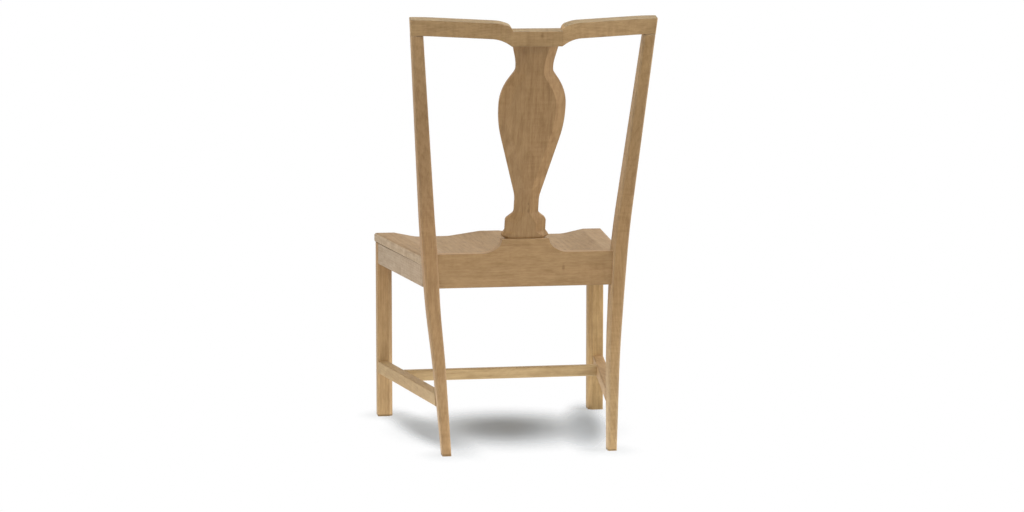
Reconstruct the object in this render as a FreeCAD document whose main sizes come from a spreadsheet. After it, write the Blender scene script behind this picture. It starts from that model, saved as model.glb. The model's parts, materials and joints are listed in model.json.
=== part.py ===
"""Splat back side chair: saddle seat, vase-shaped splat, stepped crest rail, H stretcher.

Millimetres. +Z is up and the floor is z = 0. The sitter faces -Y and +X is the sitter's left.
The origin is on the floor, in the middle of the chair's width and depth.
Left-hand pieces are modelled and the right-hand ones are their mirror images.
"""
import FreeCAD, Part
import math
import os
import re
import Sketcher

# name: (size, what it measures)
SIZES = {
    "origin_to_front": (331.9, "origin to the front edge of the seat"),
    # seat
    "seat_depth": (476.5, "front edge of the seat to the front of the rear posts"),
    "seat_front_half": (283.5, "half width of the seat at its front edge"),
    "seat_rear_half": (236.5, "half width of the seat at the rear posts"),
    "seat_base": (427.0, "floor to the underside of the seat"),
    "seat_thick": (22.2, "seat thickness at its rim"),
    "seat_overhang": (4.0, "seat edge beyond the front legs"),
    "seat_top_round": (6.0, "rounding of the upper edge of the seat"),
    "seat_base_round": (4.0, "rounding of the lower edge of the seat"),
    "rim_front": (47.0, "flat rim beside the hollows at the front"),
    "rim_rear": (42.0, "flat rim beside the hollows at the back"),
    "hollow_outer": (52.0, "rim to the floor of a hollow"),
    "hollow_inner_front": (104.0, "middle to the floor of a hollow at the front"),
    "hollow_inner_rear": (70.0, "middle to the floor of a hollow behind the pommel"),
    "hollow_depth_front": (11.2, "depth of the hollows at the front edge"),
    "hollow_depth_mid": (12.0, "depth of the hollows where they are deepest"),
    "hollow_depth_rear": (5.0, "depth of the hollows at the rear rail"),
    "pommel_peak": (4.2, "crossing of the pommel's slopes, above the rim"),
    "ridge_drop_mid": (8.0, "ridge between the hollows, below the rim, at mid depth"),
    "ridge_drop_rear": (3.6, "ridge between the hollows, below the rim, at the rear rail"),
    "hollow_round": (90.0, "rounding of a hollow's floor into its slopes"),
    "pommel_round": (214.0, "rounding of the pommel"),
    "hollow_over": (2.0, "reach of the first section of the hollows past the front edge"),
    "hollow_mid_place": (215.0, "front edge to the middle section of the hollows"),
    "hollow_back_place": (385.0, "front edge to the back section of the hollows"),
    # front legs
    "leg_side": (36.0, "side of the square front leg"),
    "leg_side_inset": (2.2, "seat corner beyond the outer face of a front leg"),
    "leg_chamfer": (8.0, "chamfer of the inner corner of a front leg"),
    "leg_ease": (2.0, "eased edges of a front leg"),
    # seat rails
    "rail_depth": (49.0, "height of the front and side rails"),
    "rail_thick": (22.0, "thickness of the front and side rails"),
    "rail_setback": (1.4, "rail face behind the face of the front leg"),
    "rail_side_inset": (2.5, "seat corner beyond the outer face of a side rail at the post"),
    "back_rail_thick": (25.0, "thickness of the rear rail"),
    "back_rail_setback": (4.6, "back face of the rear rail ahead of the posts' backs"),
    "back_rail_rise": (29.2, "top of the rear rail above the underside of the seat"),
    # shoe on the rear rail
    "shoe_rise": (32.3, "top of the shoe above the top of the rear rail"),
    "shoe_half": (55.0, "half width of the shoe at its top"),
    "shoe_waist_half": (57.5, "half width where the shoe starts to spread"),
    "shoe_waist_rise": (16.0, "height above the rail where the shoe starts to spread"),
    "shoe_spread_half": (86.0, "half width where the shoe meets the rail"),
    "shoe_upper_round": (25.0, "rounding where the shoe starts to spread"),
    "shoe_lower_round": (50.0, "rounding where the shoe meets the rail"),
    # rear posts
    "post_top": (962.0, "floor to the middle of the post's upper shoulder"),
    "post_foot_inset": (33.7, "outer face of a post at the floor, inside the seat's rear corner"),
    "post_head_spread": (40.9, "outer face of a post at its top, outside the seat's rear corner"),
    "post_width_floor": (20.4, "side to side at the floor"),
    "post_width_seat": (33.7, "side to side at the rear rail's top"),
    "post_width_top": (26.7, "side to side at the top"),
    "post_kick": (61.0, "foot of the post behind its seat part"),
    "post_rake": (110.7, "top of the post behind its seat part"),
    "knee_low_drop": (57.0, "crossing of the lower bend's straight lines, below the rails"),
    "knee_high_rise": (74.0, "crossing of the upper bend's straight lines, above the seat's underside"),
    "post_depth_floor": (28.0, "front to back at the floor"),
    "post_depth_seat": (40.0, "front to back at the seat"),
    "post_depth_top": (27.0, "front to back at the top"),
    "post_bend_low": (600.0, "radius of the lower bend"),
    "post_bend_high": (520.0, "radius of the upper bend"),
    "post_bend_inner": (400.0, "radius of the inner face where its taper changes"),
    "leg_bow": (2.5, "inward bow of a rear leg, seen from behind"),
    "leg_bow_height": (210.0, "floor to the middle of the bow"),
    "leg_bow_round": (2500.0, "radius of the bow"),
    "post_ease": (2.0, "chamfer of the long edges of a post and of the crest rail's ends"),
    # crest rail, measured in its own raked plane from the posts' shoulders
    "crest_height": (36.3, "height of the crest rail's wings"),
    "crest_thick": (27.0, "front to back of the crest rail"),
    "crest_setback": (38.4, "middle of the crest rail behind its ends"),
    "crest_block_half": (57.0, "half width of the lowered middle"),
    "crest_step": (17.2, "wing tops to the top of the lowered middle"),
    "crest_drop": (15.5, "underside of the middle below the underside of the wings"),
    "crest_sweep": (22.3, "run of the underside's slope beside the middle"),
    "crest_sweep_round": (70.0, "rounding of the underside's slope into the wing"),
    "crest_block_round": (4.0, "lower corners of the middle"),
    "crest_step_rise": (9.9, "steep part of the step"),
    "crest_step_lean": (2.0, "lean of the steep part of the step"),
    "crest_step_run": (24.5, "run of the sloping part of the step"),
    "crest_step_round": (14.0, "rounding at the head of the steep part"),
    "crest_wing_round": (90.0, "rounding of the step into the wing's top"),
    "crest_turn_round": (250.0, "rounding where the wings turn square over the posts"),
    "crest_crease_round": (7.0, "rounding of the crease beside the middle, at the back"),
    "crest_hollow_round": (80.0, "rounding of the crease beside the middle, at the front"),
    # splat, measured in its own raked plane up from the shoe
    "splat_thick": (20.0, "thickness of the splat"),
    "splat_band": (9.0, "square edge of the splat in front of the bevel"),
    "foot_half": (54.6, "half width of the splat's foot lip"),
    "foot_start_half": (27.0, "half width where the undercut of the lip starts"),
    "foot_lip_low": (9.8, "lower edge of the lip"),
    "foot_lip_high": (12.5, "upper edge of the lip"),
    "plinth_half": (47.0, "half width of the plinth"),
    "plinth_low": (22.4, "foot of the plinth's straight sides"),
    "plinth_high": (51.0, "head of the plinth's straight sides"),
    "neck_half": (27.9, "half width of the lower neck"),
    "neck_low": (66.4, "foot of the lower neck"),
    "neck_high": (106.5, "head of the lower neck"),
    "vase_half": (76.3, "half width of the vase"),
    "vase_low": (284.5, "where the lower taper would reach the full width"),
    "vase_high": (363.5, "where the shoulders would reach the full width"),
    "collar_half": (42.3, "half width of the upper neck"),
    "collar_low": (412.5, "foot of the upper neck"),
    "collar_high": (432.5, "where the upper neck starts to flare"),
    "flare_slope": (0.2425, "outward slope of the flare, per length"),
    "splat_drawn": (474.0, "length that the splat's heights are drawn for"),
    "cove_round": (7.0, "rounding above the foot lip"),
    "plinth_round": (10.0, "rounding of the plinth's shoulders"),
    "neck_low_round": (14.0, "rounding from shoulders to lower neck"),
    "neck_high_round": (70.0, "rounding from lower neck to taper"),
    "vase_low_round": (270.0, "rounding from taper to vase"),
    "vase_high_round": (110.0, "rounding of the vase's shoulders"),
    "collar_round": (20.0, "rounding from vase to upper neck"),
    "flare_round": (100.0, "rounding from upper neck to flare"),
    "flat_foot_half": (36.0, "half width of the flat back at the foot"),
    "flat_lip_half": (39.0, "half width of the flat back at the lip"),
    "flat_plinth_half": (23.0, "half width of the flat back on the plinth"),
    "flat_plinth_high": (42.0, "head of the flat back's straight sides on the plinth"),
    "flat_neck_half": (5.4, "half width of the flat back at the lower neck"),
    "flat_neck_low": (69.5, "foot of the flat back's lower neck"),
    "flat_neck_high": (119.5, "head of the flat back's lower neck"),
    "flat_vase_half": (52.5, "half width of the flat back on the vase"),
    "flat_vase_low": (289.5, "where the flat's taper would reach its full width"),
    "flat_vase_high": (352.5, "where the flat's shoulders would reach its full width"),
    "flat_collar_half": (20.0, "half width of the flat back at the upper neck"),
    "flat_collar_low": (405.5, "foot of the flat back's upper neck"),
    "flat_vase_round": (85.0, "rounding of the flat back's shoulders"),
    # stretchers
    "stretcher_top": (136.6, "floor to the top of the stretchers"),
    "side_stretcher_height": (29.7, "height of a side stretcher"),
    "side_stretcher_thick": (26.0, "thickness of a side stretcher"),
    "stretcher_front_outset": (4.8, "middle of a side stretcher outside the middle of the front leg"),
    "stretcher_rear_outset": (0.5, "middle of a side stretcher outside the middle of the rear leg"),
    "cross_stretcher_height": (26.0, "height of the cross stretcher"),
    "cross_stretcher_thick": (21.0, "thickness of the cross stretcher"),
    "cross_place": (180.7, "front edge of the seat to the middle of the cross stretcher"),
    "stretcher_ease": (3.0, "rounded edges of the stretchers"),
    # joints
    "joint_gap": (0.15, "clearance round a tenon"),
    "rail_tenon_thick": (9.0, "thickness of the seat rail tenons"),
    "rail_tenon_shoulder": (6.0, "seat rail tenon below the rail's edge"),
    "side_tenon_length": (17.0, "length of the side rail tenons"),
    "front_tenon_length": (17.0, "length of the front rail tenons"),
    "front_tenon_place": (10.5, "front face of the front leg to the middle of the front tenon"),
    "back_tenon_length": (18.0, "length of the rear rail tenons"),
    "stretcher_tenon_thick": (8.0, "thickness of the stretcher tenons"),
    "stretcher_tenon_shoulder": (5.0, "stretcher tenon below the stretcher's edge"),
    "stretcher_tenon_length": (15.0, "length of the side stretcher tenons"),
    "cross_tenon_length": (12.0, "length of the cross stretcher tenons"),
    "post_tenon_wide": (12.0, "width of the post's upper tenon"),
    "post_tenon_deep": (13.0, "front to back of the post's upper tenon"),
    "post_tenon_length": (20.0, "length of the post's upper tenon"),
    "splat_tenon_half": (34.0, "half width of the splat's tenons"),
    "splat_tenon_thick": (8.0, "thickness of the splat's tenons"),
    "splat_tenon_place": (8.0, "front of the splat to the middle of its tenons"),
    "splat_tenon_length": (12.0, "length of the splat's tenons"),
    # corner blocks and screws
    "block_height": (37.0, "height of the corner blocks"),
    "block_reach": (58.0, "reach of a corner block along its rails"),
    "block_gap": (0.2, "clearance of a block round a leg or post"),
    "screw_shank": (4.0, "diameter of a wood screw"),
    "screw_head": (8.0, "diameter of a screw's pan head"),
    "screw_head_height": (2.6, "height of a screw's pan head"),
    "screw_gap": (0.1, "clearance of a screw in its bore"),
    "block_screw_length": (53.0, "length of a corner block screw"),
    "seat_screw_length": (46.0, "length of a seat screw"),
    "seat_screw_reach": (30.0, "leg or post to a seat screw, along the rail"),
    "seat_screw_inset": (12.0, "rail to a seat screw"),
    "cut_over": (30.0, "reach of a cut past the wood"),
}

doc = FreeCAD.newDocument("splat_back_chair")
sheet = doc.addObject("Spreadsheet::Sheet", "Sizes")
for row, (alias, (size, meaning)) in enumerate(SIZES.items(), start=1):
    sheet.set(f"A{row}", meaning)
    sheet.set(f"B{row}", str(size))
    sheet.setAlias(f"B{row}", alias)
doc.recompute()

WORD = re.compile(r"[a-z]+(?:_[a-z]+)+")


def bound(text):
    """The expression with every size name pointing at its cell."""
    return WORD.sub(lambda word: "Sizes." + word.group(0), text)


def value(text):
    """The number that an expression of size names gives now."""
    result = sheet.evalExpression(bound(text))
    return float(getattr(result, "Value", result))


def minus(text):
    return f"(0 - ({text}))"


# Places that several pieces share.
SEAT_FRONT = "(0 - origin_to_front)"
SEAT_TOP = "(seat_base + seat_thick)"
LEG_FRONT = f"({SEAT_FRONT} + seat_overhang)"
LEG_BACK = f"({LEG_FRONT} + leg_side)"
LEG_OUTER = "(seat_front_half - leg_side_inset)"
LEG_INNER = f"({LEG_OUTER} - leg_side)"
RAIL_BASE = "(seat_base - rail_depth)"
FRONT_RAIL_FACE = f"({LEG_FRONT} + rail_setback)"
FRONT_RAIL_BACK = f"({FRONT_RAIL_FACE} + rail_thick)"
SIDE_RAIL_FRONT_HALF = f"({LEG_OUTER} - rail_setback)"
SIDE_RAIL_REAR_HALF = "(seat_rear_half - rail_side_inset)"
POST_FRONT = f"({SEAT_FRONT} + seat_depth)"
POST_BACK = f"({POST_FRONT} + post_depth_seat)"
POST_MID = f"({POST_FRONT} + post_depth_seat / 2)"
FOOT_MID = f"({POST_MID} + post_kick)"
FOOT_FRONT = f"({FOOT_MID} - post_depth_floor / 2)"
FOOT_BACK = f"({FOOT_MID} + post_depth_floor / 2)"
HEAD_MID = f"({POST_MID} + post_rake)"
KNEE_LOW = f"({RAIL_BASE} - knee_low_drop)"
KNEE_HIGH = "(seat_base + knee_high_rise)"
BACK_RAIL_TOP = "(seat_base + back_rail_rise)"
BACK_RAIL_BACK = f"({POST_BACK} - back_rail_setback)"
BACK_RAIL_FRONT = f"({BACK_RAIL_BACK} - back_rail_thick)"
SHOE_TOP = f"({BACK_RAIL_TOP} + shoe_rise)"
STRETCHER_BASE = "(stretcher_top - side_stretcher_height)"
STRETCHER_MID = "(stretcher_top - side_stretcher_height / 2)"
CROSS_PLACE = f"({SEAT_FRONT} + cross_place)"


POST_OUTER_FLOOR = "(seat_rear_half - post_foot_inset)"
POST_OUTER_TOP = "(seat_rear_half + post_head_spread)"
POST_INNER_FLOOR = f"({POST_OUTER_FLOOR} - post_width_floor)"
POST_INNER_TOP = f"({POST_OUTER_TOP} - post_width_top)"
POST_SPLAY = f"(({POST_OUTER_TOP} - {POST_OUTER_FLOOR}) / post_top)"


def post_outer(height):
    return f"({POST_OUTER_FLOOR} + {POST_SPLAY} * ({height}))"


POST_INNER_SEAT = f"({post_outer(BACK_RAIL_TOP)} - post_width_seat)"


def post_inner(height):
    """Inner face of a post below the rear rail's top."""
    return f"({POST_INNER_FLOOR} + ({POST_INNER_SEAT} - {POST_INNER_FLOOR}) * ({height}) / {BACK_RAIL_TOP})"


def rear_leg_front(height):
    """Front face of a rear leg below its lower bend."""
    return f"({FOOT_FRONT} + ({POST_FRONT} - {FOOT_FRONT}) * ({height}) / {KNEE_LOW})"


def side_rail_outer(depth):
    """Outer face of a side rail at a place along the chair's depth."""
    run = f"(({depth}) - {LEG_BACK}) / ({POST_FRONT} - {LEG_BACK})"
    return f"({SIDE_RAIL_FRONT_HALF} + ({SIDE_RAIL_REAR_HALF} - {SIDE_RAIL_FRONT_HALF}) * {run})"


def side_rail_inner(depth):
    return f"({side_rail_outer(depth)} - rail_thick)"


STRETCHER_BOW = f"(leg_bow * {STRETCHER_MID} / leg_bow_height)"
REAR_LEG_MID = f"(({post_outer(STRETCHER_MID)} + {post_inner(STRETCHER_MID)}) / 2 - {STRETCHER_BOW})"
STRETCHER_FRONT_X = f"({LEG_OUTER} - leg_side / 2 + stretcher_front_outset)"
STRETCHER_REAR_X = f"({REAR_LEG_MID} + stretcher_rear_outset)"
STRETCHER_REAR_Y = rear_leg_front(STRETCHER_MID)


def stretcher_mid(depth):
    """Middle of a side stretcher at a place along the chair's depth."""
    run = f"(({depth}) - {LEG_BACK}) / ({STRETCHER_REAR_Y} - {LEG_BACK})"
    return f"({STRETCHER_FRONT_X} + ({STRETCHER_REAR_X} - {STRETCHER_FRONT_X}) * {run})"


def seat_half(depth):
    """Half width of the seat at a place along the chair's depth."""
    run = f"(({depth}) - {SEAT_FRONT}) / seat_depth"
    return f"(seat_front_half + (seat_rear_half - seat_front_half) * {run})"


class Raked:
    """A plane frame leaning back about the X axis: n points to the rear, t up the lean."""

    def __init__(self, depth, height, slope):
        self.depth = depth
        self.height = height
        self.angle = f"atan(0 - ({slope}))"
        self.cos = f"(1 / sqrt(1 + ({slope}) ^ 2))"
        self.sin = f"(({slope}) * {self.cos})"

    def y(self, n, t):
        return f"({self.depth} + ({n}) * {self.cos} + ({t}) * {self.sin})"

    def z(self, n, t):
        return f"({self.height} - ({n}) * {self.sin} + ({t}) * {self.cos})"

    def seat(self, thing, x="0", n="0", t="0"):
        """Places an object so that its own axes follow this frame."""
        thing.Placement = FreeCAD.Placement(FreeCAD.Vector(), FreeCAD.Rotation(FreeCAD.Vector(1, 0, 0), -10))
        thing.setExpression("Placement.Base.x", bound(x))
        thing.setExpression("Placement.Base.y", bound(self.y(n, t)))
        thing.setExpression("Placement.Base.z", bound(self.z(n, t)))
        thing.setExpression("Placement.Rotation.Angle", bound(self.angle))


CREST = Raked(HEAD_MID, "post_top", f"post_rake / (post_top - {KNEE_HIGH})")
CREST_HALF = "(crest_thick / 2)"
CREST_BACK = f"({CREST_HALF} + crest_setback)"
CREST_FRONT = f"(crest_setback - {CREST_HALF})"
CREST_SEAT_Y = CREST.y(CREST_FRONT, "0 - crest_drop")
CREST_SEAT_Z = CREST.z(CREST_FRONT, "0 - crest_drop")
SPLAT_SLOPE = f"({CREST_SEAT_Y} - {BACK_RAIL_FRONT}) / ({CREST_SEAT_Z} - {SHOE_TOP})"
SPLAT = Raked(BACK_RAIL_FRONT, SHOE_TOP, SPLAT_SLOPE)


def new_body(name):
    return doc.addObject("PartDesign::Body", name)


def new_sketch(body, plane, name, offset=None):
    """A sketch on one of the body's own planes, moved along its normal by offset."""
    sketch = body.newObject("Sketcher::SketchObject", name)
    support = [item for item in body.Origin.OriginFeatures if item.Role == plane]
    sketch.AttachmentSupport = (support[0], [""])
    sketch.MapMode = "FlatFace"
    if offset:
        sketch.setExpression("AttachmentOffset.Base.z", bound(offset))
    return sketch


def outline(sketch, corners):
    """Closed outline through corners (x, y) or (x, y, radius), all expressions bound to the sheet.

    A rounding that is too large for the straight sides beside it takes what they leave.
    """
    count = len(corners)
    points = [FreeCAD.Vector(value(corner[0]), value(corner[1]), 0) for corner in corners]
    rounds = [value(corner[2]) if len(corner) > 2 else 0.0 for corner in corners]
    halves = []
    for i in range(count):
        back = points[i - 1] - points[i]
        ahead = points[(i + 1) % count] - points[i]
        halves.append(back.getAngle(ahead) / 2)
    reaches = [radius / math.tan(half) for radius, half in zip(rounds, halves)]
    limits = [1.0] * count
    for i in range(count):
        after = (i + 1) % count
        wanted = reaches[i] + reaches[after]
        room = 0.98 * points[i].distanceToPoint(points[after])
        if wanted > room:
            limits[i] = min(limits[i], room / wanted)
            limits[after] = min(limits[after], room / wanted)
    trims = []
    centres = []
    for i in range(count):
        rounds[i] = rounds[i] * limits[i]
        back = (points[i - 1] - points[i]).normalize()
        ahead = (points[(i + 1) % count] - points[i]).normalize()
        reach = reaches[i] * limits[i]
        trims.append((points[i] + back * reach, points[i] + ahead * reach))
        centres.append(points[i] + (back + ahead).normalize() * (rounds[i] / math.sin(halves[i])))
    lines = []
    for i in range(count):
        line = Part.LineSegment(trims[i][1], trims[(i + 1) % count][0])
        lines.append(sketch.addGeometry(line))
    rules = []
    sizes = []
    start = sketch.ConstraintCount

    def size(kind, *where):
        *place, text = where
        sizes.append((start + len(rules), text))
        rules.append(Sketcher.Constraint(kind, *place, value(text)))

    for i, corner in enumerate(corners):
        before = lines[i - 1]
        after = lines[i]
        if not rounds[i]:
            rules.append(Sketcher.Constraint("Coincident", before, 2, after, 1))
            size("DistanceX", -1, 1, after, 1, corner[0])
            size("DistanceY", -1, 1, after, 1, corner[1])
            continue
        first, last = trims[i]
        turn = (points[i] - points[i - 1]).cross(points[(i + 1) % count] - points[i]).z
        if turn < 0:
            first, last = last, first
        angles = [math.atan2(p.y - centres[i].y, p.x - centres[i].x) for p in (first, last)]
        circle = Part.Circle(centres[i], FreeCAD.Vector(0, 0, 1), rounds[i])
        arc = sketch.addGeometry(Part.ArcOfCircle(circle, *angles))
        mark = sketch.addGeometry(Part.Point(points[i]), True)
        entry, leave = (1, 2) if turn > 0 else (2, 1)
        rules.append(Sketcher.Constraint("Tangent", before, 2, arc, entry))
        rules.append(Sketcher.Constraint("Tangent", arc, leave, after, 1))
        rules.append(Sketcher.Constraint("PointOnObject", mark, 1, before))
        rules.append(Sketcher.Constraint("PointOnObject", mark, 1, after))
        size("Radius", arc, corner[2] if limits[i] == 1.0 else f"({corner[2]} * {limits[i]})")
        size("DistanceX", -1, 1, mark, 1, corner[0])
        size("DistanceY", -1, 1, mark, 1, corner[1])
    sketch.addConstraint(rules)
    for index, text in sizes:
        sketch.setExpression(f"Constraints[{index}]", bound(text))


def mirrored(corners):
    """The corners on the +X side, given upwards, and their mirror images back down."""
    other = [(minus(corner[0]), *corner[1:]) for corner in reversed(corners)]
    return corners + other


def frame_round(sketch, left, right, low, high):
    """A rectangle round an outline, so that a pocket removes what lies between the two."""
    outline(sketch, [(left, low), (right, low), (right, high), (left, high)])


def pad(body, sketch, name, length, reverse=False, symmetric=False):
    feature = body.newObject("PartDesign::Pad", name)
    feature.Profile = sketch
    feature.setExpression("Length", bound(length))
    feature.Reversed = reverse
    if symmetric:
        feature.SideType = "Symmetric"
    doc.recompute()
    return feature


def pocket(body, sketch, name, length):
    """Cuts the sketch through to both sides of its plane."""
    feature = body.newObject("PartDesign::Pocket", name)
    feature.Profile = sketch
    feature.SideType = "Symmetric"
    feature.setExpression("Length", bound(length))
    doc.recompute()
    return feature


def fillet(body, base, name, radius, chosen):
    """Rounds the edges of base that chosen accepts."""
    names = [f"Edge{i}" for i, edge in enumerate(base.Shape.Edges, start=1) if chosen(edge)]
    feature = body.newObject("PartDesign::Fillet", name)
    feature.Base = (base, names)
    feature.setExpression("Radius", bound(radius))
    doc.recompute()
    return feature


def chamfer(body, base, name, size, chosen):
    """Takes off the edges of base that chosen accepts."""
    names = [f"Edge{i}" for i, edge in enumerate(base.Shape.Edges, start=1) if chosen(edge)]
    feature = body.newObject("PartDesign::Chamfer", name)
    feature.Base = (base, names)
    feature.setExpression("Size", bound(size))
    doc.recompute()
    return feature


def edge_line(edge):
    """Middle point of an edge and the direction from end to end."""
    ends = [vertex.Point for vertex in edge.Vertexes]
    middle = edge.valueAt((edge.FirstParameter + edge.LastParameter) / 2)
    if len(ends) < 2:
        return middle, FreeCAD.Vector()
    return middle, (ends[-1] - ends[0]).normalize()


def box(name, x, y, z, grow="0"):
    """A square block between pairs of places, larger by grow all round."""
    block = doc.addObject("Part::Box", name)
    for axis, side, (low, high) in zip("xyz", ("Length", "Width", "Height"), (x, y, z)):
        block.setExpression(f"Placement.Base.{axis}", bound(f"{low} - ({grow})"))
        block.setExpression(side, bound(f"({high}) - ({low}) + 2 * ({grow})"))
    return block


def raked_box(name, frame, x, n, t, grow="0"):
    """A square block that follows a raked frame."""
    block = doc.addObject("Part::Box", name)
    for side, (low, high) in zip(("Length", "Width", "Height"), (x, n, t)):
        block.setExpression(side, bound(f"({high}) - ({low}) + 2 * ({grow})"))
    corner = [f"({low}) - ({grow})" for low, high in (x, n, t)]
    frame.seat(block, *corner)
    return block


def tenon(name, x, y, z):
    """A tenon and the mortise that takes it."""
    return box(name, x, y, z), box(name + "_mortise", x, y, z, "joint_gap")


def raked_tenon(name, frame, x, n, t):
    return raked_box(name, frame, x, n, t), raked_box(name + "_mortise", frame, x, n, t, "joint_gap")


def joined(name, *pieces):
    fused = doc.addObject("Part::MultiFuse", name)
    fused.Shapes = list(pieces)
    return fused


def cut(name, base, *tools):
    """Base less all tools."""
    tool = tools[0] if len(tools) == 1 else joined(name + "_cuts", *tools)
    result = doc.addObject("Part::Cut", name)
    result.Base = base
    result.Tool = tool
    return result


def mirror(name, source):
    other = doc.addObject("Part::Mirroring", name)
    other.Source = source
    other.Normal = FreeCAD.Vector(1, 0, 0)
    return other


def spread(middle, size):
    return (f"{middle} - ({size}) / 2", f"{middle} + ({size}) / 2")


# Tenons, each with its mortise.
RAIL_TENON_Z = (f"{RAIL_BASE} + rail_tenon_shoulder", "seat_base - rail_tenon_shoulder")
STRETCHER_TENON_Z = (f"{STRETCHER_BASE} + stretcher_tenon_shoulder", "stretcher_top - stretcher_tenon_shoulder")
CROSS_TENON_Z = (
    "stretcher_top - cross_stretcher_height + stretcher_tenon_shoulder",
    "stretcher_top - stretcher_tenon_shoulder",
)
SIDE_TENON_FRONT_X = f"({side_rail_outer(LEG_BACK)} - rail_thick / 2)"
SIDE_TENON_REAR_X = f"({SIDE_RAIL_REAR_HALF} - rail_thick / 2)"
BACK_RAIL_MID = f"({BACK_RAIL_BACK} - back_rail_thick / 2)"
BACK_SHOULDER = post_inner(RAIL_BASE)
CROSS_END = f"({stretcher_mid(CROSS_PLACE)} - side_stretcher_thick / 2)"

side_tenon_front, side_mortise_front = tenon(
    "side_tenon_front",
    spread(SIDE_TENON_FRONT_X, "rail_tenon_thick"),
    (f"{LEG_BACK} - side_tenon_length", f"{LEG_BACK} + rail_tenon_shoulder"),
    RAIL_TENON_Z,
)
side_tenon_rear, side_mortise_rear = tenon(
    "side_tenon_rear",
    spread(SIDE_TENON_REAR_X, "rail_tenon_thick"),
    (f"{POST_FRONT} - rail_tenon_shoulder", f"{POST_FRONT} + side_tenon_length"),
    RAIL_TENON_Z,
)
front_tenon, front_mortise = tenon(
    "front_tenon",
    (f"{LEG_INNER} - rail_tenon_shoulder", f"{LEG_INNER} + front_tenon_length"),
    spread(f"({LEG_FRONT} + front_tenon_place)", "rail_tenon_thick"),
    RAIL_TENON_Z,
)
back_tenon, back_mortise = tenon(
    "back_tenon",
    (f"{BACK_SHOULDER} - rail_tenon_shoulder", f"{BACK_SHOULDER} + back_tenon_length"),
    spread(BACK_RAIL_MID, "rail_tenon_thick"),
    (f"{RAIL_BASE} + rail_tenon_shoulder", f"{BACK_RAIL_TOP} - 2 * rail_tenon_shoulder"),
)
stretcher_tenon_front, stretcher_mortise_front = tenon(
    "stretcher_tenon_front",
    spread(STRETCHER_FRONT_X, "stretcher_tenon_thick"),
    (f"{LEG_BACK} - stretcher_tenon_length", f"{LEG_BACK} + stretcher_tenon_shoulder"),
    STRETCHER_TENON_Z,
)
stretcher_tenon_rear, stretcher_mortise_rear = tenon(
    "stretcher_tenon_rear",
    spread(STRETCHER_REAR_X, "stretcher_tenon_thick"),
    (f"{STRETCHER_REAR_Y} - 2 * stretcher_tenon_shoulder", f"{STRETCHER_REAR_Y} + stretcher_tenon_length"),
    STRETCHER_TENON_Z,
)
cross_tenon, cross_mortise = tenon(
    "cross_tenon",
    (f"{CROSS_END} - 2 * stretcher_tenon_shoulder", f"{CROSS_END} + cross_tenon_length"),
    spread(CROSS_PLACE, "stretcher_tenon_thick"),
    CROSS_TENON_Z,
)
post_tenon, post_mortise = raked_tenon(
    "post_tenon",
    CREST,
    spread(f"({POST_OUTER_TOP} - post_width_top / 2)", "post_tenon_wide"),
    spread("0", "post_tenon_deep"),
    ("0 - post_tenon_length / 2", "post_tenon_length"),
)
SPLAT_TENON_X = ("0 - splat_tenon_half", "splat_tenon_half")
SPLAT_TENON_N = spread("splat_tenon_place", "splat_tenon_thick")
SPLAT_LENGTH = f"(({CREST_SEAT_Z} - {SHOE_TOP}) / {SPLAT.cos})"
splat_foot_tenon, splat_foot_mortise = raked_tenon(
    "splat_foot_tenon",
    SPLAT,
    SPLAT_TENON_X,
    SPLAT_TENON_N,
    ("0 - splat_tenon_length", "splat_tenon_length"),
)
splat_head_tenon, splat_head_mortise = raked_tenon(
    "splat_head_tenon",
    SPLAT,
    SPLAT_TENON_X,
    SPLAT_TENON_N,
    (f"{SPLAT_LENGTH} - splat_tenon_length", f"{SPLAT_LENGTH} + splat_tenon_length"),
)

# Corner blocks: where their inner faces run from rail to rail.
LEG_BACK_GAP = f"({LEG_BACK} + block_gap)"
FRONT_BLOCK_BACK = f"({LEG_BACK} + block_reach)"
FRONT_BLOCK_FACE = [
    (f"({LEG_INNER} - block_reach)", FRONT_RAIL_BACK),
    (side_rail_inner(FRONT_BLOCK_BACK), FRONT_BLOCK_BACK),
]
BLOCK_AT = "(seat_base - block_height)"
POST_SIDE_GAP = f"({post_inner(BLOCK_AT)} - block_gap)"
POST_FRONT_GAP = f"({POST_FRONT} - block_gap)"
REAR_BLOCK_FRONT = f"({POST_FRONT} - block_reach)"
REAR_BLOCK_FACE = [
    (f"({POST_SIDE_GAP} - block_reach)", BACK_RAIL_FRONT),
    (side_rail_inner(REAR_BLOCK_FRONT), REAR_BLOCK_FRONT),
]

# Wood screw: a pan head on a plain shank, lying along +X with its head behind the origin.
SHANK_RADIUS = value("screw_shank / 2")
ALONG = FreeCAD.Vector(1, 0, 0)


def screw_shape(length):
    height = value("screw_head_height")
    head = Part.makeCylinder(value("screw_head / 2"), height, FreeCAD.Vector(-height, 0, 0), ALONG)
    shank = Part.makeCylinder(SHANK_RADIUS, length, FreeCAD.Vector(), ALONG)
    return head.fuse(shank)


def bore_shape(length):
    gap = value("screw_gap")
    start = FreeCAD.Vector(-gap, 0, 0)
    return Part.makeCylinder(SHANK_RADIUS + gap, length + 2 * gap, start, ALONG)


def placed(shape, place, direction):
    """The shape with its +X along direction, starting at place."""
    copy = shape.copy()
    copy.Placement = FreeCAD.Placement(place, FreeCAD.Rotation(ALONG, direction))
    return copy


def plain(name, shapes):
    """A group of separate solids as one object."""
    group = doc.addObject("Part::Feature", name)
    group.Shape = Part.makeCompound(shapes)
    return group


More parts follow.
